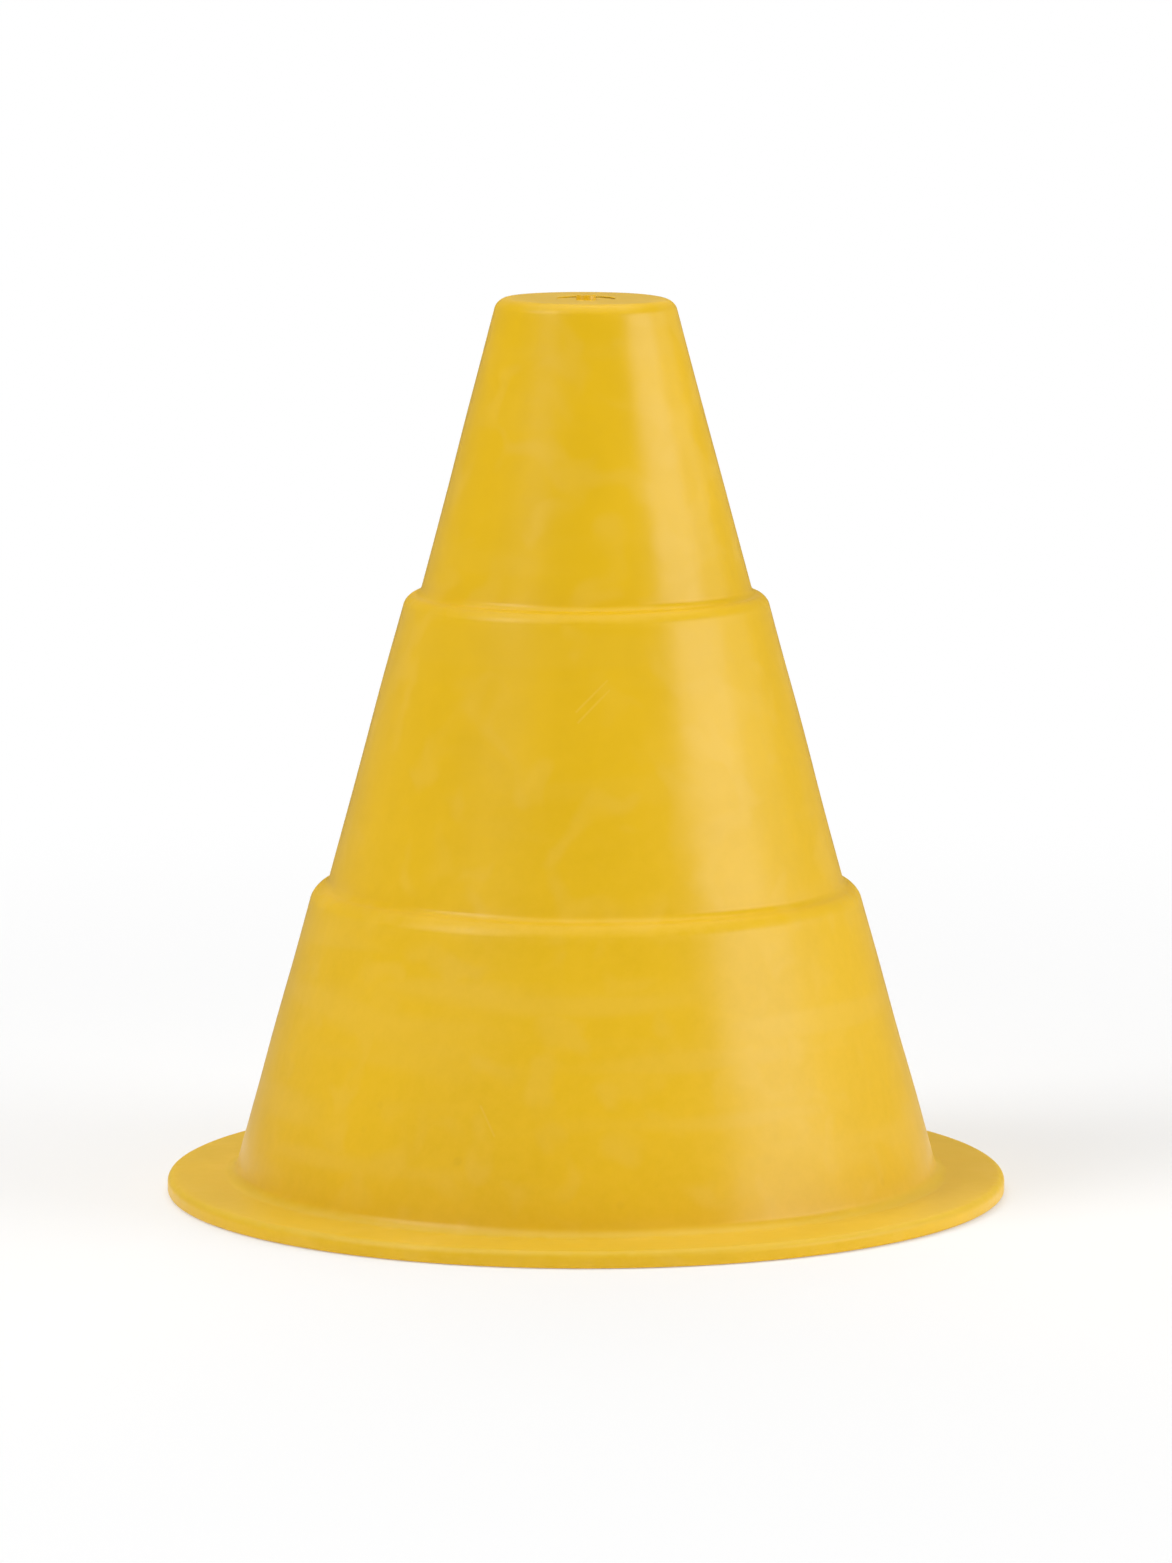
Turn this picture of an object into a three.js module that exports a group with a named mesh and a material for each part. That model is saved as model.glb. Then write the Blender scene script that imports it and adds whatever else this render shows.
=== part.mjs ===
// Small stepped training cone: one moulded shell of soft polyethylene, open underneath.
// Millimetres, +Z up. The origin is the middle of the brim's underside, on the ground.

import * as THREE from 'three'

// Brim: the flat round foot that the cone stands on
const BRIM_WIDTH = 11.2
const BRIM_THICKNESS = 2.8
const RIM_TOP_ROUNDING = 1.2
const RIM_BOTTOM_ROUNDING = 0.4
const BRIM_FILLET = 2.3

// Tiers: three tapering walls, each named by the radius where it starts and the radius where it ends
const LOWER_FOOT_RADIUS = 59.3
const LOWER_HEAD_RADIUS = 45.9
const MIDDLE_HEAD_RADIUS = 30.2
const CROWN_RADIUS = 14.7
const LOWER_TIER_HEIGHT = 48.2
const MIDDLE_TIER_HEIGHT = 48.3
const TOP_TIER_HEIGHT = 49.0

// Ledges: the sloping steps between two tiers
const LOWER_LEDGE_WIDTH = 2.5
const LOWER_LEDGE_RISE = 1.1
const UPPER_LEDGE_WIDTH = 2.4
const UPPER_LEDGE_RISE = 0.6
const LOWER_SHOULDER_ROUNDING = 3.4
const UPPER_SHOULDER_ROUNDING = 2.6
const CREASE_FILLET = 1.6

// Crown: the closed top, with the shallow well and the cut-off stub where the plastic was let in
const CROWN_EDGE_ROUNDING = 2.3
const GATE_WELL_RADIUS = 5.0
const GATE_WELL_DEPTH = 0.2
const SPRUE_STUB_RADIUS = 1.7
const SPRUE_STUB_HEIGHT = 0.85
const GATE_MARK_DRAFT = 0.15

// Wall: how thick the plastic is, and how the hollow is finished
const WALL = 1.6
const CROWN_THICKNESS = 2.0
const MOUTH_ROUNDING = 0.6
const LEAST_INSIDE_ROUNDING = 0.5

// Fineness: sides around the axis, and how far an arc's chord may lie from the arc
const SIDES = 80
const ARC_SAGITTA = 0.08

// The roundings at the two ends of an edge together take no more than this share of it
const ROUNDED_SHARE = 0.97

const PLASTIC_YELLOW = 0xe3b41f
const PLASTIC_ROUGHNESS = 0.42

// A point of the outline: its distance from the axis, then its height
const at = (radius, height) => new THREE.Vector2(radius, height)

// A corner of the outline and the radius that rounds it, or a sharp one
const corner = (point, rounding = 0) => ({ point, rounding })

// How many chords an arc of this radius and angle takes
function arcSteps(radius, turn) {
  const widestStep = 2 * Math.acos(1 - ARC_SAGITTA / Math.max(radius, ARC_SAGITTA))
  return Math.max(2, Math.ceil(turn / widestStep))
}

// Half the angle between the two edges that meet at a point
function halfAngleAt(before, point, after) {
  const back = before.clone().sub(point).normalize()
  const ahead = after.clone().sub(point).normalize()
  return Math.acos(back.dot(ahead)) / 2
}

// How far along its edges each corner's rounding reaches, shortened where an edge is too short for both
function reachesOf(corners) {
  const wanted = corners.map(({ point, rounding }, i) => {
    if (rounding === 0) {
      return 0
    }
    return rounding / Math.tan(halfAngleAt(corners[i - 1].point, point, corners[i + 1].point))
  })
  const shares = wanted.slice(1).map((reach, i) => {
    const length = corners[i].point.distanceTo(corners[i + 1].point)
    return Math.min(1, ROUNDED_SHARE * length / (wanted[i] + reach))
  })
  return wanted.map((reach, i) => reach * Math.min(shares[i - 1] ?? 1, shares[i] ?? 1))
}

// The points of one corner: itself where it is sharp, otherwise an arc between the two edges beside it
function roundCorner(before, point, after, reach) {
  if (reach === 0) {
    return [point]
  }
  const halfAngle = halfAngleAt(before, point, after)
  const radius = reach * Math.tan(halfAngle)
  const back = before.clone().sub(point).normalize()
  const ahead = after.clone().sub(point).normalize()
  const start = point.clone().addScaledVector(back, reach)
  const towardsCentre = back.clone().add(ahead).normalize()
  const centre = point.clone().addScaledVector(towardsCentre, radius / Math.sin(halfAngle))
  const turn = Math.PI - 2 * halfAngle
  const direction = Math.sign(ahead.cross(back))
  const steps = arcSteps(radius, turn)
  return Array.from({ length: steps + 1 }, (_, step) => {
    return start.clone().rotateAround(centre, direction * turn * (step / steps))
  })
}

// The whole outline, from its first corner to its last, which both lie on the axis
function roundedOutline(corners) {
  const points = corners.map(({ point }) => point)
  const reaches = reachesOf(corners)
  const arcs = points.slice(1, -1).map((point, i) => {
    return roundCorner(points[i], point, points[i + 2], reaches[i + 1])
  })
  return [points[0], ...arcs.flat(), points.at(-1)]
}

// The line through two points of the outside, moved one wall thickness inwards
function wallInside(from, to) {
  const along = to.clone().sub(from).normalize()
  const inwards = at(-along.y, along.x)
  return { from: from.clone().add(inwards.multiplyScalar(WALL)), along }
}

// The point where two such lines cross
function crossing(one, other) {
  const between = other.from.clone().sub(one.from)
  const distance = between.cross(other.along) / one.along.cross(other.along)
  return one.from.clone().add(one.along.clone().multiplyScalar(distance))
}

// Heights of the outside, from the ground up
const lowerHeadHeight = BRIM_THICKNESS + LOWER_TIER_HEIGHT
const middleFootHeight = lowerHeadHeight + LOWER_LEDGE_RISE
const middleHeadHeight = middleFootHeight + MIDDLE_TIER_HEIGHT
const topFootHeight = middleHeadHeight + UPPER_LEDGE_RISE
const crownHeight = topFootHeight + TOP_TIER_HEIGHT

// Sharp corners of the outside wall, from the brim to the crown
const brimRadius = LOWER_FOOT_RADIUS + BRIM_WIDTH
const lowerFoot = at(LOWER_FOOT_RADIUS, BRIM_THICKNESS)
const lowerHead = at(LOWER_HEAD_RADIUS, lowerHeadHeight)
const middleFoot = at(LOWER_HEAD_RADIUS - LOWER_LEDGE_WIDTH, middleFootHeight)
const middleHead = at(MIDDLE_HEAD_RADIUS, middleHeadHeight)
const topFoot = at(MIDDLE_HEAD_RADIUS - UPPER_LEDGE_WIDTH, topFootHeight)
const crownCorner = at(CROWN_RADIUS, crownHeight)

// Sharp corners of the hollow, where the same walls, moved inwards, cross each other
const ground = { from: at(0, 0), along: at(1, 0) }
const ceiling = { from: at(0, crownHeight - CROWN_THICKNESS), along: at(1, 0) }
const insideLines = [
  ground,
  wallInside(lowerFoot, lowerHead),
  wallInside(lowerHead, middleFoot),
  wallInside(middleFoot, middleHead),
  wallInside(middleHead, topFoot),
  wallInside(topFoot, crownCorner),
  ceiling,
]
const hollow = insideLines.slice(1).map((line, i) => crossing(insideLines[i], line))
const [mouth, lowerShoulder, lowerCrease, upperShoulder, upperCrease, ceilingCorner] = hollow

// Inside a rounded shoulder the wall curves with a smaller radius, and behind a crease with a larger one
const insideShoulder = (rounding) => Math.max(rounding - WALL, LEAST_INSIDE_ROUNDING)
const insideCrease = CREASE_FILLET + WALL

const hollowCorners = [
  corner(ceiling.from),
  corner(ceilingCorner, insideShoulder(CROWN_EDGE_ROUNDING)),
  corner(upperCrease, insideCrease),
  corner(upperShoulder, insideShoulder(UPPER_SHOULDER_ROUNDING)),
  corner(lowerCrease, insideCrease),
  corner(lowerShoulder, insideShoulder(LOWER_SHOULDER_ROUNDING)),
  corner(mouth, MOUTH_ROUNDING),
]

const brimCorners = [
  corner(at(brimRadius, 0), RIM_BOTTOM_ROUNDING),
  corner(at(brimRadius, BRIM_THICKNESS), RIM_TOP_ROUNDING),
  corner(lowerFoot, BRIM_FILLET),
]

const tierCorners = [
  corner(lowerHead, LOWER_SHOULDER_ROUNDING),
  corner(middleFoot, CREASE_FILLET),
  corner(middleHead, UPPER_SHOULDER_ROUNDING),
  corner(topFoot, CREASE_FILLET),
  corner(crownCorner, CROWN_EDGE_ROUNDING),
]

const wellFloor = crownHeight - GATE_WELL_DEPTH
const stubTop = wellFloor + SPRUE_STUB_HEIGHT
const gateCorners = [
  corner(at(GATE_WELL_RADIUS, crownHeight)),
  corner(at(GATE_WELL_RADIUS - GATE_MARK_DRAFT, wellFloor)),
  corner(at(SPRUE_STUB_RADIUS, wellFloor)),
  corner(at(SPRUE_STUB_RADIUS - GATE_MARK_DRAFT, stubTop)),
  corner(at(0, stubTop)),
]

function coneShell() {
  const outline = roundedOutline([...hollowCorners, ...brimCorners, ...tierCorners, ...gateCorners])
  const geometry = new THREE.LatheGeometry(outline, SIDES)
  const plastic = new THREE.MeshStandardMaterial({
    color: PLASTIC_YELLOW,
    roughness: PLASTIC_ROUGHNESS,
    metalness: 0,
  })
  const shell = new THREE.Mesh(geometry, plastic)
  shell.name = 'cone_shell'
  shell.rotation.x = Math.PI / 2
  return shell
}

const group = new THREE.Group()
group.add(coneShell())

export default group
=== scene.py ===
"""Looks of the small stepped training cone: one moulded shell of soft polyethylene, on a pale floor."""

import math

import bmesh
import bpy
from mathutils import Matrix, Vector, noise


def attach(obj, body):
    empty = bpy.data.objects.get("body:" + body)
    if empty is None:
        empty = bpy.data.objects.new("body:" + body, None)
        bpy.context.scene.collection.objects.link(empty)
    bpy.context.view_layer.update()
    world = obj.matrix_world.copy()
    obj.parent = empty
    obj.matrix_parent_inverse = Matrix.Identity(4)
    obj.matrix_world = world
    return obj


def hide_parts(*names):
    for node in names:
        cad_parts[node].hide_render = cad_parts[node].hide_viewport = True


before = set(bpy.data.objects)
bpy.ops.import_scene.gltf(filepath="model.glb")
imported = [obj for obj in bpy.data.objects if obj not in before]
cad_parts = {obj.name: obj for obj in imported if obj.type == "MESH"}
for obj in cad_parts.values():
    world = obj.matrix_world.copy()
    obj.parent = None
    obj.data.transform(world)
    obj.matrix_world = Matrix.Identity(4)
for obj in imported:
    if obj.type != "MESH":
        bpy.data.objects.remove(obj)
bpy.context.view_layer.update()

MM = 0.001

# Sizes of the cone in millimetres, the same as in the part's source
BRIM_RADIUS = 70.5
BRIM_THICKNESS = 2.8
RIM_TOP_ROUNDING = 1.2
RIM_BOTTOM_ROUNDING = 0.4
BRIM_FILLET = 2.3
LOWER_FOOT = (59.3, 2.8)
LOWER_HEAD = (45.9, 51.0)
MIDDLE_FOOT = (43.4, 52.1)
MIDDLE_HEAD = (30.2, 100.4)
TOP_FOOT = (27.8, 101.0)
CROWN_CORNER = (14.7, 150.0)
LOWER_SHOULDER_ROUNDING = 3.4
UPPER_SHOULDER_ROUNDING = 2.6
CREASE_FILLET = 1.6
CROWN_EDGE_ROUNDING = 2.3
GATE_WELL_RADIUS = 5.0
GATE_WELL_DEPTH = 0.2
SPRUE_STUB_RADIUS = 1.7
SPRUE_STUB_HEIGHT = 0.85
GATE_MARK_DRAFT = 0.15
WALL = 1.6
CROWN_THICKNESS = 2.0
MOUTH_ROUNDING = 0.6
LEAST_INSIDE_ROUNDING = 0.5

# How finely the shell is meshed, in millimetres and steps
TURN_STEPS = 288
OUTSIDE_ROW = 1.4
INSIDE_ROW = 4.0
ARC_ROW = 0.25

# Small roundings where the plastic was let in
WELL_ROUNDING = 0.06
STUB_FOOT_ROUNDING = 0.08
STUB_TOP_ROUNDING = 0.12

# How far the cooled skin lies off its true shape, in millimetres: long swells, and shorter ones on top
SWELL_WIDTH = 42.0
SWELL_DEPTH = 0.18
RIPPLE_WIDTH = 17.0
RIPPLE_DEPTH = 0.13
CROWN_SLOPE = 0.007

# Outside edges that rub against other things, and how far from them the wear reaches
WORN_EDGES = [(BRIM_RADIUS, 0.0), (BRIM_RADIUS, BRIM_THICKNESS), LOWER_HEAD, MIDDLE_HEAD, CROWN_CORNER]
WEAR_REACH = 3.2

# The same swells each run: where in the noise they start
SWELL_START = Vector((11.3, 4.7, 8.1))

# Points closer than this are one point, in metres
MERGE_DISTANCE = 1e-7

# Plastic: sRGB colours
YELLOW_LIGHT = "#e2b510"
YELLOW_DEEP = "#dcb008"
RUBBED_YELLOW = "#ebc35a"
# Painted grey reflection of a dim room on the brim's top, laid with its scuffs
SCUFFED_SHEEN_YELLOW = "#c9b45a"
# Painted light: the walls lighter towards the foot, standing in for light bounced up from the floor
PAINTED_FOOT_LIGHT_YELLOW = "#f0c02a"
SPECK_BROWN = "#bd9212"

# Sizes of the plastic's patterns in millimetres. The real grain is about 0.1 mm wide, which is too fine for
# the picture, so it is drawn coarser.
CLOUD_WIDTH = 24.0
STREAK_WIDTH = 7.0
STREAK_STRETCH = 0.22
STREAK_SHARE = 0.3
FLOW_LINE_HEIGHT = 6.0
FLOW_LINE_STRETCH = 0.1
MOTTLE_WIDTH = 8.0
PEEL_WIDTH = 2.2
GRAIN_WIDTH = 0.6
SCRATCH_WIDTH = 0.35

# From which value of its noise each pattern starts to show, and at which it shows fully
PIGMENT_REACH = (0.4, 0.9)
RUBBED_REACH = (0.25, 0.8)
PATCH_REACH = (0.1, 0.9)
BLOOM_REACH = (0.5, 0.72)
FLOW_LINE_REACH = (0.52, 0.68)

# How much of the wear shows, and between which strengths the brim's scuffs and painted grey sheen vary
WEAR_SHOWS = (0.1, 1.0)
SCUFF_AND_SHEEN_VARY = (0.3, 0.7)

# Between which heights, in millimetres, these fade in or out, and what is left of the flow lines above
BRIM_TOP_STARTS = (1.6, 2.7)
BRIM_TOP_ENDS = (2.9, 4.5)
# The painted light at the foot fades out between these heights
PAINTED_FOOT_LIGHT_ENDS = (20.0, 120.0)
FLOW_LINES_END = (40.0, 60.0)
FLOW_LINES_ABOVE = 0.3
DULLNESS_ENDS = (20.0, 110.0)

# How much of its colour each pattern lays over the yellow at most
PAINTED_FOOT_LIGHT_SHARE = 0.336
SCUFF_AND_SHEEN_SHARE = 0.5
RUBBED_SHARE = 0.13
BLOOM_SHARE = 0.16
SCRATCH_SHARE = 0.25
SPECK_SHARE = 0.2

# Roughness at the foot and at the crown, and what the patterns add to it
FOOT_ROUGHNESS = 0.29
CROWN_ROUGHNESS = 0.27
PATCHY_ROUGHNESS = 0.02
MOTTLE_ROUGHNESS = 0.05
RUBBED_ROUGHNESS = 0.2
SCUFFED_ROUGHNESS = 0.2

# Relief of the patterns in millimetres
MOTTLE_RELIEF = 0.08
FLOW_LINE_RELIEF = 0.07
PEEL_RELIEF = 0.006
GRAIN_RELIEF = 0.001
SCRATCH_RELIEF = 0.012
SPECK_RELIEF = -0.02

# How the plastic mirrors: polyethylene's refractive index, and a waxy skin that keeps the sheen weak
PLASTIC_IOR = 1.51
SHEEN_LEVEL = 0.22

# Attributes of the mesh: outside skin or hollow, and how worn
OUTER = "outer_skin"
WEAR = "wear"

# Marks on the walls: degrees round from the front, positive to the right, and heights in millimetres. A
# speck is a dark grain or a faint blot, and has a width in millimetres and a strength as well. It keeps its
# strength out to the first of the two shares of its width, and is gone beyond the second.
SCRATCHES = [((-2.6, 85.2), (6.0, 90.1)), ((-2.1, 83.5), (6.6, 88.6)), ((-18.5, 22.9), (-15.7, 18.4))]
SPECKS = [
    (-38.3, 21.6, 1.1, 0.45), (-40.9, 17.5, 1.1, 0.35), (-21.8, 14.1, 1.3, 0.9), (5.5, 7.9, 1.2, 0.5),
    (57.4, 6.8, 1.2, 0.6), (32.0, 65.0, 3.0, 0.2), (-23.6, 75.7, 3.0, 0.2), (-22.0, 42.9, 2.4, 0.3),
]
SPECK_CORE = 0.3
SPECK_EDGE = 0.8

# Studio: each lamp's name, degrees round from the front and up, width and height in metres, and radiance
LAMP_DISTANCE = 1.3
LAMP_TARGET = Vector((0, 0, 0.07))
LAMPS = [
    ("right_softbox", 72, 18, 0.81, 0.49, 5.2),
    ("right_front_softbox", 63, 20, 0.4, 0.5, 1.5),
    ("left_softbox", -65, 45, 0.57, 0.57, 7.05),
    ("left_window", -46, 30, 0.5, 0.35, 2.2),
    ("overhead_softbox", 0, 90, 1.6, 1.6, 1.52),
    ("right_fill_softbox", 100, 10, 0.8, 0.8, 1.4),
    ("back_softbox", 180, 40, 0.8, 0.8, 1.7),
]

# Lamps that light the cone, but don't show in reflections
FILL_LAMPS = ["back_softbox"]

# Radiance of the world where it isn't seen
WORLD_LIGHT = 0.07

# Floor, in metres: paper near the cone, and plain white beyond the second of the two shadow distances. The
# camera and reflections see the paper as a darker grey that glows, so it stays pale and keeps the shadow.
# The floor lies a hair under the brim.
FLOOR_RADIUS = 9.0
SHADOW_REACH = (0.12, 0.45)
FLOOR_LEVEL = -0.0001
PAPER_GREY = 0.92
PAPER_GLOW = 0.2
SEEN_PAPER_GREY = 0.6
SEEN_PAPER_GLOW = 0.31

# Cards: each ring's name, and its distance at the foot, distance at the head and height in metres. A ring
# dims between the two shares of its distance straight behind the cone, and between the two heights it gets
# lighter again.
CARDS = [
    ("far_grey_cards", 1.9, 1.9, 2.2),
    ("low_grey_cards", 0.5, 0.5, 0.13),
    ("floor_grey_card", 0.5, 0.09, 0.003),
]
CARD_GREY_FRONT = 0.84
CARD_GREY_SIDE = 0.27
CARD_GREY_BEHIND = 0.07
CARD_GREY_ABOVE = 0.4
BEHIND_REACH = (0.92, 0.99)
ABOVE_REACH = (0.25, 0.5)

# Camera: found from the cone's outline in the photograph, in metres, degrees and the photograph's own pixels
PHOTO_HEIGHT_PIXELS = 1563
FOCAL_LENGTH_PIXELS = 7956.3
SENSOR_WIDTH = 36
CAMERA_DISTANCE = 1.3332
CAMERA_RISE = 7.896
CAMERA_PIVOT = 0.069178
CAMERA_AIM = 0.06896


def wall_inside(start, end):
    """The line through two points of the outside, moved one wall inwards: a point and a direction."""
    along = (Vector(end) - Vector(start)).normalized()
    return Vector(start) + WALL * Vector((-along.y, along.x)), along


def crossing(one, other):
    """The point where two such lines cross."""
    between = other[0] - one[0]
    distance = between.cross(other[1]) / one[1].cross(other[1])
    return one[0] + one[1] * distance


def hollow_corners():
    """The hollow's corners from the ceiling down, each with its rounding."""
    ground = (Vector((0, 0)), Vector((1, 0)))
    ceiling = (Vector((0, CROWN_CORNER[1] - CROWN_THICKNESS)), Vector((1, 0)))
    outside = [LOWER_FOOT, LOWER_HEAD, MIDDLE_FOOT, MIDDLE_HEAD, TOP_FOOT, CROWN_CORNER]
    lines = [ground] + [wall_inside(a, b) for a, b in zip(outside, outside[1:])] + [ceiling]
    mouth, low_shoulder, low_crease, high_shoulder, high_crease, top = [
        crossing(a, b) for a, b in zip(lines, lines[1:])
    ]
    return [
        (ceiling[0], 0.0),
        (top, max(CROWN_EDGE_ROUNDING - WALL, LEAST_INSIDE_ROUNDING)),
        (high_crease, CREASE_FILLET + WALL),
        (high_shoulder, max(UPPER_SHOULDER_ROUNDING - WALL, LEAST_INSIDE_ROUNDING)),
        (low_crease, CREASE_FILLET + WALL),
        (low_shoulder, max(LOWER_SHOULDER_ROUNDING - WALL, LEAST_INSIDE_ROUNDING)),
        (mouth, MOUTH_ROUNDING),
    ]


def outside_corners():
    """The outside's corners from the brim's underside to the middle of the crown, each with its rounding."""
    crown = CROWN_CORNER[1]
    well_floor = crown - GATE_WELL_DEPTH
    stub_top = well_floor + SPRUE_STUB_HEIGHT
    return [
        ((BRIM_RADIUS, 0.0), RIM_BOTTOM_ROUNDING),
        ((BRIM_RADIUS, BRIM_THICKNESS), RIM_TOP_ROUNDING),
        (LOWER_FOOT, BRIM_FILLET),
        (LOWER_HEAD, LOWER_SHOULDER_ROUNDING),
        (MIDDLE_FOOT, CREASE_FILLET),
        (MIDDLE_HEAD, UPPER_SHOULDER_ROUNDING),
        (TOP_FOOT, CREASE_FILLET),
        (CROWN_CORNER, CROWN_EDGE_ROUNDING),
        ((GATE_WELL_RADIUS, crown), WELL_ROUNDING),
        ((GATE_WELL_RADIUS - GATE_MARK_DRAFT, well_floor), WELL_ROUNDING),
        ((SPRUE_STUB_RADIUS, well_floor), STUB_FOOT_ROUNDING),
        ((SPRUE_STUB_RADIUS - GATE_MARK_DRAFT, stub_top), STUB_TOP_ROUNDING),
        ((0.0, stub_top), 0.0),
    ]


def half_angle(before, point, after):
    """Half the angle between the two edges that meet at a point."""
    back = (Vector(before) - Vector(point)).normalized()
    ahead = (Vector(after) - Vector(point)).normalized()
    return math.acos(back.dot(ahead)) / 2


def round_corners(bm, verts, corners):
    """Bevels each corner of the wire to its rounding."""
    for i, (point, rounding) in enumerate(corners):
        if rounding == 0.0:
            continue
        half = half_angle(corners[i - 1][0], point, corners[i + 1][0])
        bmesh.ops.bevel(
            bm,
            geom=[verts[i]],
            affect="VERTICES",
            offset_type="OFFSET",
            offset=rounding / math.tan(half) * MM,
            segments=max(4, math.ceil(rounding * (math.pi - 2 * half) / ARC_ROW)),
            profile=0.5,
            material=-1,
            clamp_overlap=False,
        )


def divide_edges(bm, outer):
    """Cuts the wire's straight edges into rows, finer outside than in the hollow."""
    edges_by_cuts = {}
    for edge in bm.edges:
        outside = all(vert[outer] > 0.5 for vert in edge.verts)
        row = (OUTSIDE_ROW if outside else INSIDE_ROW) * MM
        cuts = math.ceil(edge.calc_length() / row) - 1
        if cuts > 0:
            edges_by_cuts.setdefault(cuts, []).append(edge)
    for cuts, edges in edges_by_cuts.items():
        bmesh.ops.subdivide_edges(bm, edges=edges, cuts=cuts)


def half_section():
    """Half of the shell's section as a wire, from the ceiling of the hollow round to the top of the stub."""
    hollow = hollow_corners()
    corners = hollow + outside_corners()
    bm = bmesh.new()
    outer = bm.verts.layers.float.new(OUTER)
    wear = bm.verts.layers.float.new(WEAR)
    verts = [bm.verts.new((x * MM, 0.0, z * MM)) for (x, z), _ in corners]
    for vert in verts[len(hollow):]:
        vert[outer] = 1.0
    for a, b in zip(verts, verts[1:]):
        bm.edges.new((a, b))
    round_corners(bm, verts, corners)
    divide_edges(bm, outer)
    for vert in bm.verts:
        point = (vert.co.x / MM, vert.co.z / MM)
        distance = min(math.dist(point, edge) for edge in WORN_EDGES)
        vert[wear] = max(0.0, 1.0 - distance / WEAR_REACH)
    return bm


def swell(place):
    """How far the cooled skin stands off its true shape at a place on it, in millimetres."""
    long_wave = noise.noise(place / SWELL_WIDTH + SWELL_START)
    short_wave = noise.noise(place / RIPPLE_WIDTH + SWELL_START)
    return SWELL_DEPTH * long_wave + RIPPLE_DEPTH * short_wave


def swell_share(place):
    """How much of the swelling a place takes: none at the rim and the underside, and none on the stub."""
    radius = math.hypot(place.x, place.y)
    off_rim = (BRIM_RADIUS - radius) / BRIM_THICKNESS
    off_floor = place.z / BRIM_THICKNESS
    off_axis = (radius - SPRUE_STUB_RADIUS) / GATE_WELL_RADIUS
    return min(1.0, max(0.0, min(off_rim, off_floor, off_axis)))


def cool_unevenly(bm):
    """Gives the outside the slight swells of walls that shrank as they cooled, and the crown a slope."""
    outer = bm.verts.layers.float[OUTER]
    bm.normal_update()
    moves = []
    for vert in bm.verts:
        if vert[outer] < 1.0:
            continue
        place = vert.co / MM
        share = swell_share(place)
        up_top_tier = max(0.0, (place.z - TOP_FOOT[1]) / (CROWN_CORNER[1] - TOP_FOOT[1]))
        lift = -CROWN_SLOPE * place.x * up_top_tier
        moves.append((vert, (vert.normal * swell(place) * share + Vector((0.0, 0.0, lift * share))) * MM))
    for vert, move in moves:
        vert.co += move


def cone_shell():
    """The whole shell, spun from its half section."""
    bm = half_section()
    bmesh.ops.spin(
        bm,
        geom=bm.verts[:] + bm.edges[:],
        cent=(0, 0, 0),
        axis=(0, 0, 1),
        dvec=(0, 0, 0),
        angle=math.tau,
        steps=TURN_STEPS,
        use_merge=True,
        use_duplicate=False,
    )
    bmesh.ops.remove_doubles(bm, verts=bm.verts, dist=MERGE_DISTANCE)
    bmesh.ops.recalc_face_normals(bm, faces=bm.faces)
    cool_unevenly(bm)
    for face in bm.faces:
        face.smooth = True
    return finished(bm, "cone_shell_moulded")


def finished(bm, name):
    """Makes an object of a bmesh, with its place in its mesh."""
    mesh = bpy.data.meshes.new(name)
    bm.to_mesh(mesh)
    bm.free()
    piece = bpy.data.objects.new(name, mesh)
    bpy.context.scene.collection.objects.link(piece)
    return piece


def linear(colour):
    """An sRGB hex colour as linear red, green, blue and alpha."""
    parts = [int(colour[i : i + 2], 16) / 255 for i in (1, 3, 5)]
    return [p / 12.92 if p <= 0.04045 else ((p + 0.055) / 1.055) ** 2.4 for p in parts] + [1.0]


def add_node(tree, kind, settings=None, **inputs):
    """Adds a node. Settings are its properties. Inputs go by name or _number, and take values or sockets."""
    node = tree.nodes.new(kind)
    for name, value in (settings or {}).items():
        setattr(node, name, value)
    for name, value in inputs.items():
        socket = node.inputs[int(name[1:]) if name[1:].isdigit() else name.replace("_", " ")]
        if isinstance(value, bpy.types.NodeSocket):
            tree.links.new(value, socket)
        else:
            socket.default_value = value
    return node


def new_material(name):
    """An empty material and its node tree."""
    material = bpy.data.materials.new(name)
    material.use_nodes = True
    material.node_tree.nodes.clear()
    return material, material.node_tree


def on_wall(turn, height):
    """The place on the outside wall this many degrees round from the front, at a height in millimetres."""
    corners = [LOWER_FOOT, LOWER_HEAD, MIDDLE_FOOT, MIDDLE_HEAD, TOP_FOOT, CROWN_CORNER]
    for (foot, low), (head, high) in zip(corners, corners[1:]):
        if height <= high:
            break
    radius = foot + (head - foot) * (height - low) / (high - low)
    angle = math.radians(turn)
    return Vector((radius * math.sin(angle), -radius * math.cos(angle), height))


def line_mask(tree, place, start, end, width):
    """1 on the straight line between two places and 0 beyond its width."""
    run = end - start
    off_start = add_node(tree, "ShaderNodeVectorMath", {"operation": "SUBTRACT"}, _0=place, _1=start)
    share = add_node(
        tree, "ShaderNodeVectorMath", {"operation": "DOT_PRODUCT"}, _0=off_start.outputs[0],
        _1=run / run.length_squared,
    )
    along = add_node(tree, "ShaderNodeClamp", Value=share.outputs["Value"])
    nearest = add_node(tree, "ShaderNodeVectorMath", {"operation": "SCALE"}, _0=run, Scale=along.outputs[0])
    gap = add_node(
        tree, "ShaderNodeVectorMath", {"operation": "DISTANCE"}, _0=off_start.outputs[0],
        _1=nearest.outputs[0],
    )
    return fade(tree, gap.outputs["Value"], 0.0, width, 1.0, 0.0)


def spot_mask(tree, place, centre, width, strength):
    """The strength at a place, fading to 0 a little beyond half the width."""
    gap = add_node(tree, "ShaderNodeVectorMath", {"operation": "DISTANCE"}, _0=place, _1=centre)
    return fade(tree, gap.outputs["Value"], SPECK_CORE * width, SPECK_EDGE * width, strength, 0.0)


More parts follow.
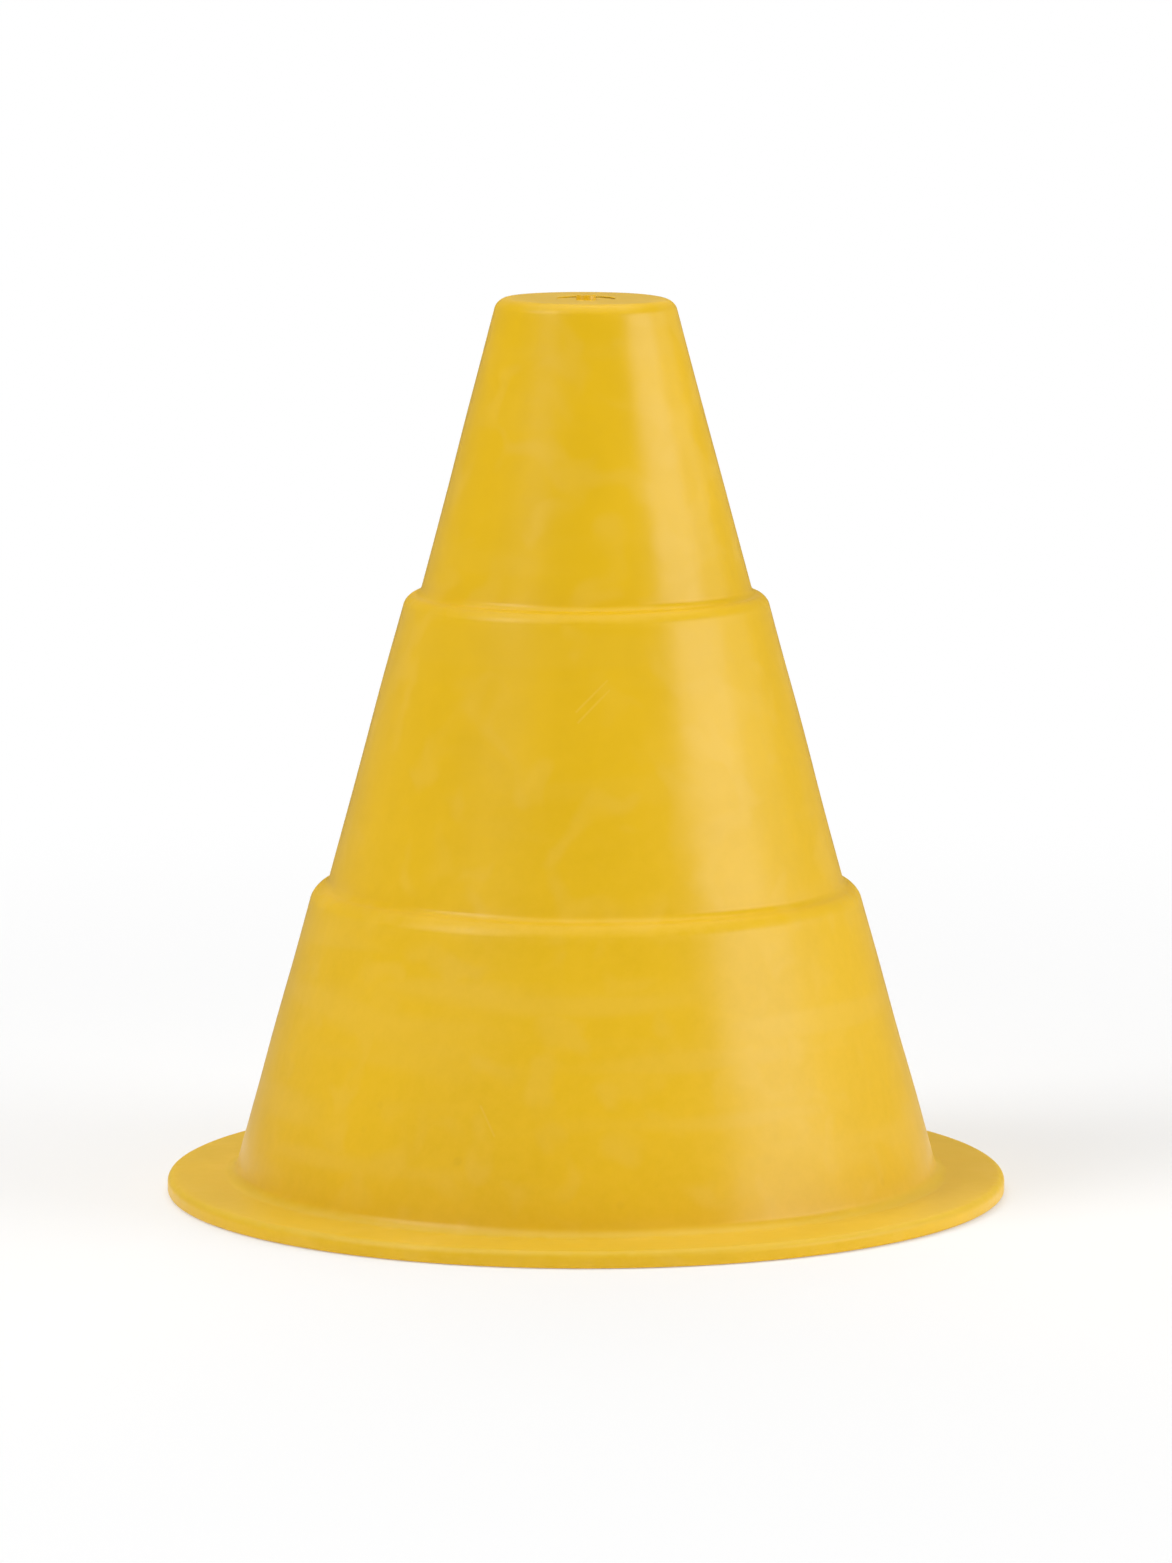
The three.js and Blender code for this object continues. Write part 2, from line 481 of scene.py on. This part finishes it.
def fade(tree, value, low, high, at_low=0.0, at_high=1.0):
    """Goes smoothly from one number to another as the value goes from low to high."""
    node = add_node(
        tree, "ShaderNodeMapRange", {"interpolation_type": "SMOOTHSTEP"}, Value=value, From_Min=low,
        From_Max=high, To_Min=at_low, To_Max=at_high,
    )
    return node.outputs[0]


def product(tree, one, other):
    """Two numbers multiplied."""
    return add_node(tree, "ShaderNodeMath", {"operation": "MULTIPLY"}, _0=one, _1=other).outputs[0]


def strongest(tree, values):
    """The largest of several numbers."""
    top = values[0]
    for value in values[1:]:
        top = add_node(tree, "ShaderNodeMath", {"operation": "MAXIMUM"}, _0=top, _1=value).outputs[0]
    return top


def ldpe_moulded_yellow():
    """Low-density polyethylene, injection moulded and coloured right through.

    To the eye it is a warm yellow with a waxy satin sheen, not a hard gloss. Its pigment is a little cloudy
    and streaked along the flow, and a pale bloom lies on it in patches. Faint flow lines run round the
    walls, edges are rubbed paler and duller, the brim is scuffed, and there are a few specks and scratches.
    The brim's top is greyed with a painted reflection of a dim room, and the walls are painted lighter
    towards the foot, as painted light bounced up from the floor.
    """
    material, tree = new_material("ldpe_moulded_yellow")
    coordinates = add_node(tree, "ShaderNodeTexCoord")
    place = add_node(
        tree, "ShaderNodeMapping", Vector=coordinates.outputs["Object"], Scale=(1 / MM, 1 / MM, 1 / MM)
    ).outputs[0]
    down_flow = add_node(tree, "ShaderNodeMapping", Vector=place, Scale=(1, 1, STREAK_STRETCH)).outputs[0]
    across_flow = add_node(
        tree, "ShaderNodeMapping", Vector=place, Scale=(FLOW_LINE_STRETCH, FLOW_LINE_STRETCH, 1)
    ).outputs[0]
    height = add_node(tree, "ShaderNodeSeparateXYZ", Vector=place).outputs["Z"]
    wear = add_node(tree, "ShaderNodeAttribute", {"attribute_name": WEAR}).outputs["Fac"]

    # Pigment: clouds and streaks
    clouds = add_node(
        tree, "ShaderNodeTexNoise", Vector=place, Scale=1 / CLOUD_WIDTH, Detail=3.0, Roughness=0.55
    ).outputs[0]
    streaks = add_node(
        tree, "ShaderNodeTexNoise", Vector=down_flow, Scale=1 / STREAK_WIDTH, Detail=2.0, Roughness=0.5
    ).outputs[0]
    pigment = add_node(
        tree, "ShaderNodeMath", {"operation": "MULTIPLY_ADD"}, _0=streaks, _1=STREAK_SHARE, _2=clouds
    ).outputs[0]
    yellow = add_node(
        tree, "ShaderNodeMix", {"data_type": "RGBA"}, _0=fade(tree, pigment, *PIGMENT_REACH),
        _6=linear(YELLOW_DEEP), _7=linear(YELLOW_LIGHT),
    ).outputs[2]

    # Rubbed edges, broken by a noise; brim scuffed, with painted grey reflection; painted light at the foot
    patchy = add_node(
        tree, "ShaderNodeTexNoise", Vector=place, Scale=1 / PEEL_WIDTH, Detail=4.0, Roughness=0.65
    ).outputs[0]
    rubbed_edge = product(tree, fade(tree, wear, *WEAR_SHOWS), fade(tree, patchy, *RUBBED_REACH))
    brim_top = product(
        tree, fade(tree, height, *BRIM_TOP_STARTS), fade(tree, height, *BRIM_TOP_ENDS, 1.0, 0.0)
    )
    # Painted grey reflection on the brim's top, together with its scuffs
    scuffed_and_sheen_brim = product(tree, brim_top, fade(tree, patchy, *PATCH_REACH, *SCUFF_AND_SHEEN_VARY))
    # Painted light: patches lighter towards the foot, for the floor's bounce light
    painted_foot_light = product(tree, fade(tree, height, *PAINTED_FOOT_LIGHT_ENDS, 1.0, 0.0), fade(tree, patchy, *PATCH_REACH))

    # Bloom: a waxy haze that comes out of the plastic in patches, and along the flow lines of the lower tier
    mottle = add_node(
        tree, "ShaderNodeTexNoise", Vector=place, Scale=1 / MOTTLE_WIDTH, Detail=1.0, Roughness=0.4,
        Distortion=0.6,
    ).outputs[0]
    flow_lines = add_node(
        tree, "ShaderNodeTexNoise", Vector=across_flow, Scale=1 / FLOW_LINE_HEIGHT, Detail=1.0, Roughness=0.4
    ).outputs[0]
    lined = product(
        tree, fade(tree, flow_lines, *FLOW_LINE_REACH),
        fade(tree, height, *FLOW_LINES_END, 1.0, FLOW_LINES_ABOVE),
    )
    bloom = strongest(tree, [fade(tree, mottle, *BLOOM_REACH), lined])

    # Scratches and specks
    scratched = strongest(tree, [
        line_mask(tree, place, on_wall(*start), on_wall(*end), SCRATCH_WIDTH) for start, end in SCRATCHES
    ])
    specked = strongest(tree, [
        spot_mask(tree, place, on_wall(turn, high), width, strength)
        for turn, high, width, strength in SPECKS
    ])

    # Colour: the yellow, with each of these laid over it in turn
    pale_share = strongest(tree, [
        product(tree, rubbed_edge, RUBBED_SHARE), product(tree, bloom, BLOOM_SHARE),
        product(tree, scratched, SCRATCH_SHARE),
    ])
    colour = yellow
    for share, other in (
        # Painted light: the walls lighter towards the foot
        (product(tree, painted_foot_light, PAINTED_FOOT_LIGHT_SHARE), PAINTED_FOOT_LIGHT_YELLOW),
        # Scuffs and a painted grey reflection on the brim's top
        (product(tree, scuffed_and_sheen_brim, SCUFF_AND_SHEEN_SHARE), SCUFFED_SHEEN_YELLOW),
        (pale_share, RUBBED_YELLOW),
        (product(tree, specked, SPECK_SHARE), SPECK_BROWN),
    ):
        colour = add_node(
            tree, "ShaderNodeMix", {"data_type": "RGBA"}, _0=share, _6=colour, _7=linear(other)
        ).outputs[2]

    # Roughness: duller towards the foot, which is handled and dragged, and on rubbed and scuffed places
    dulled = fade(tree, height, *DULLNESS_ENDS, FOOT_ROUGHNESS, CROWN_ROUGHNESS)
    for pattern, more in (
        (patchy, PATCHY_ROUGHNESS), (mottle, MOTTLE_ROUGHNESS), (rubbed_edge, RUBBED_ROUGHNESS),
        (scuffed_and_sheen_brim, SCUFFED_ROUGHNESS),
    ):
        dulled = add_node(
            tree, "ShaderNodeMath", {"operation": "MULTIPLY_ADD"}, _0=pattern, _1=more, _2=dulled
        ).outputs[0]

    # Relief: sinks, flow lines, the mould's orange peel, a fine grain, and the marks
    grain = add_node(tree, "ShaderNodeTexNoise", Vector=place, Scale=1 / GRAIN_WIDTH, Detail=1.0).outputs[0]
    peel = add_node(tree, "ShaderNodeTexNoise", Vector=place, Scale=1 / PEEL_WIDTH, Detail=1.0).outputs[0]
    relief = 0.0
    for pattern, depth in (
        (mottle, MOTTLE_RELIEF), (flow_lines, FLOW_LINE_RELIEF), (peel, PEEL_RELIEF), (grain, GRAIN_RELIEF),
        (scratched, SCRATCH_RELIEF), (specked, SPECK_RELIEF),
    ):
        relief = add_node(
            tree, "ShaderNodeMath", {"operation": "MULTIPLY_ADD"}, _0=pattern, _1=depth, _2=relief
        ).outputs[0]
    bump = add_node(tree, "ShaderNodeBump", Distance=MM, Height=relief)

    shader = add_node(
        tree, "ShaderNodeBsdfPrincipled", Base_Color=colour, Roughness=dulled, IOR=PLASTIC_IOR,
        Specular_IOR_Level=SHEEN_LEVEL, Normal=bump.outputs[0],
    )
    add_node(tree, "ShaderNodeOutputMaterial", Surface=shader.outputs[0])
    return material


def seen_rays(tree):
    """1 for rays that show the background itself: to the camera, in a reflection, or through glass."""
    rays = add_node(tree, "ShaderNodeLightPath").outputs
    return strongest(tree, [rays["Is Camera Ray"], rays["Is Glossy Ray"], rays["Is Transmission Ray"]])


def studio_floor():
    """Plain pale floor: paper that keeps the cone's shadow near it, and plain white further out."""
    bm = bmesh.new()
    bmesh.ops.create_circle(
        bm, cap_ends=True, segments=64, radius=FLOOR_RADIUS, matrix=Matrix.Translation((0, 0, FLOOR_LEVEL))
    )
    floor = finished(bm, "studio_floor")
    material, tree = new_material("pale_paper")
    coordinates = add_node(tree, "ShaderNodeTexCoord")
    reach = add_node(tree, "ShaderNodeVectorMath", {"operation": "LENGTH"}, _0=coordinates.outputs["Object"])
    far_off = fade(tree, reach.outputs["Value"], *SHADOW_REACH)
    paper = add_node(tree, "ShaderNodeBsdfDiffuse", Color=(PAPER_GREY, PAPER_GREY, PAPER_GREY, 1))
    light_table = add_node(tree, "ShaderNodeEmission", Color=(1, 1, 1, 1), Strength=PAPER_GLOW)
    unseen = add_node(tree, "ShaderNodeAddShader", _0=paper.outputs[0], _1=light_table.outputs[0])
    shaded = add_node(
        tree, "ShaderNodeBsdfDiffuse", Color=(SEEN_PAPER_GREY, SEEN_PAPER_GREY, SEEN_PAPER_GREY, 1)
    )
    glow = add_node(tree, "ShaderNodeEmission", Color=(1, 1, 1, 1), Strength=SEEN_PAPER_GLOW)
    near = add_node(tree, "ShaderNodeAddShader", _0=shaded.outputs[0], _1=glow.outputs[0])
    far = add_node(tree, "ShaderNodeEmission", Color=(1, 1, 1, 1), Strength=1.0)
    white = add_node(tree, "ShaderNodeMixShader", Fac=far_off, _1=near.outputs[0], _2=far.outputs[0])
    both = add_node(
        tree, "ShaderNodeMixShader", Fac=seen_rays(tree), _1=unseen.outputs[0], _2=white.outputs[0]
    )
    add_node(tree, "ShaderNodeOutputMaterial", Surface=both.outputs[0])
    floor.data.materials.append(material)


def grey_cards():
    """Rings of grey cards round the set, far, low and on the floor, dimmest low down behind the cone.

    Only reflections show them. They stand for the dim room that the photographed cone's edges and crown
    mirror, and neither light the cone nor hide the backdrop.
    """
    for name, distance, head_distance, height in CARDS:
        bm = bmesh.new()
        bmesh.ops.create_cone(
            bm, cap_ends=False, segments=64, radius1=distance, radius2=head_distance, depth=height,
            matrix=Matrix.Translation((0, 0, height / 2)),
        )
        cards = finished(bm, name)
        material, tree = new_material(name)
        coordinates = add_node(tree, "ShaderNodeTexCoord")
        card_place = add_node(tree, "ShaderNodeSeparateXYZ", Vector=coordinates.outputs["Object"])
        depth = product(tree, card_place.outputs["Y"], 1 / distance)
        side = fade(tree, depth, -1.0, BEHIND_REACH[0], CARD_GREY_FRONT, CARD_GREY_SIDE)
        behind = fade(tree, depth, *BEHIND_REACH, 1.0, CARD_GREY_BEHIND / CARD_GREY_SIDE)
        above = product(
            tree, fade(tree, depth, *BEHIND_REACH),
            fade(tree, card_place.outputs["Z"], *ABOVE_REACH, 0.0, CARD_GREY_ABOVE),
        )
        strength = strongest(tree, [product(tree, side, behind), above])
        glow = add_node(tree, "ShaderNodeEmission", Color=(1, 1, 1, 1), Strength=strength)
        add_node(tree, "ShaderNodeOutputMaterial", Surface=glow.outputs[0])
        cards.data.materials.append(material)
        for rays in ("camera", "diffuse", "transmission", "volume_scatter", "shadow"):
            setattr(cards, "visible_" + rays, False)


def studio_world():
    """White where it is seen, and a weak even light elsewhere."""
    world = bpy.data.worlds.new("studio")
    world.use_nodes = True
    tree = world.node_tree
    tree.nodes.clear()
    strength = fade(tree, seen_rays(tree), 0.0, 1.0, WORLD_LIGHT, 1.0)
    background = add_node(tree, "ShaderNodeBackground", Color=(1, 1, 1, 1), Strength=strength)
    add_node(tree, "ShaderNodeOutputWorld", Surface=background.outputs[0])
    bpy.context.scene.world = world


def around(turn, rise, distance):
    """The place this many degrees round from the front, this many degrees up, and this far off."""
    turn, rise = math.radians(turn), math.radians(rise)
    flat = distance * math.cos(rise)
    return Vector((flat * math.sin(turn), -flat * math.cos(turn), distance * math.sin(rise)))


def point_at(thing, place, target):
    """Puts a lamp or camera at a place in the scene and turns it to the target."""
    thing.location = place
    thing.rotation_euler = (target - place).to_track_quat("-Z", "Y").to_euler()
    bpy.context.scene.collection.objects.link(thing)


def soft_lamps():
    """A few soft lamps, each as bright as its radiance whatever its size.

    Reflections don't show the fill lamps, because the photographed crown's front edge mirrors none.
    """
    for name, turn, rise, width, height, radiance in LAMPS:
        lamp = bpy.data.lights.new(name, "AREA")
        lamp.shape = "RECTANGLE"
        lamp.size = width
        lamp.size_y = height
        lamp.energy = math.pi * width * height * radiance
        softbox = bpy.data.objects.new(name, lamp)
        softbox.visible_camera = False
        softbox.visible_glossy = name not in FILL_LAMPS
        point_at(softbox, LAMP_TARGET + around(turn, rise, LAMP_DISTANCE), LAMP_TARGET)


def photo_camera():
    """The camera where the photograph was taken from."""
    lens = bpy.data.cameras.new("camera")
    lens.sensor_width = SENSOR_WIDTH
    lens.lens = FOCAL_LENGTH_PIXELS / PHOTO_HEIGHT_PIXELS * SENSOR_WIDTH
    lens.clip_end = 2 * FLOOR_RADIUS
    camera = bpy.data.objects.new("camera", lens)
    place = Vector((0, 0, CAMERA_PIVOT)) + around(0, CAMERA_RISE, CAMERA_DISTANCE)
    point_at(camera, place, Vector((0, 0, CAMERA_AIM)))
    bpy.context.scene.camera = camera


shell = cone_shell()
shell.data.materials.append(ldpe_moulded_yellow())
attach(shell, "root")
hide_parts("cone_shell")

studio_floor()
grey_cards()
studio_world()
soft_lamps()
photo_camera()
bpy.context.scene.view_settings.view_transform = "Standard"
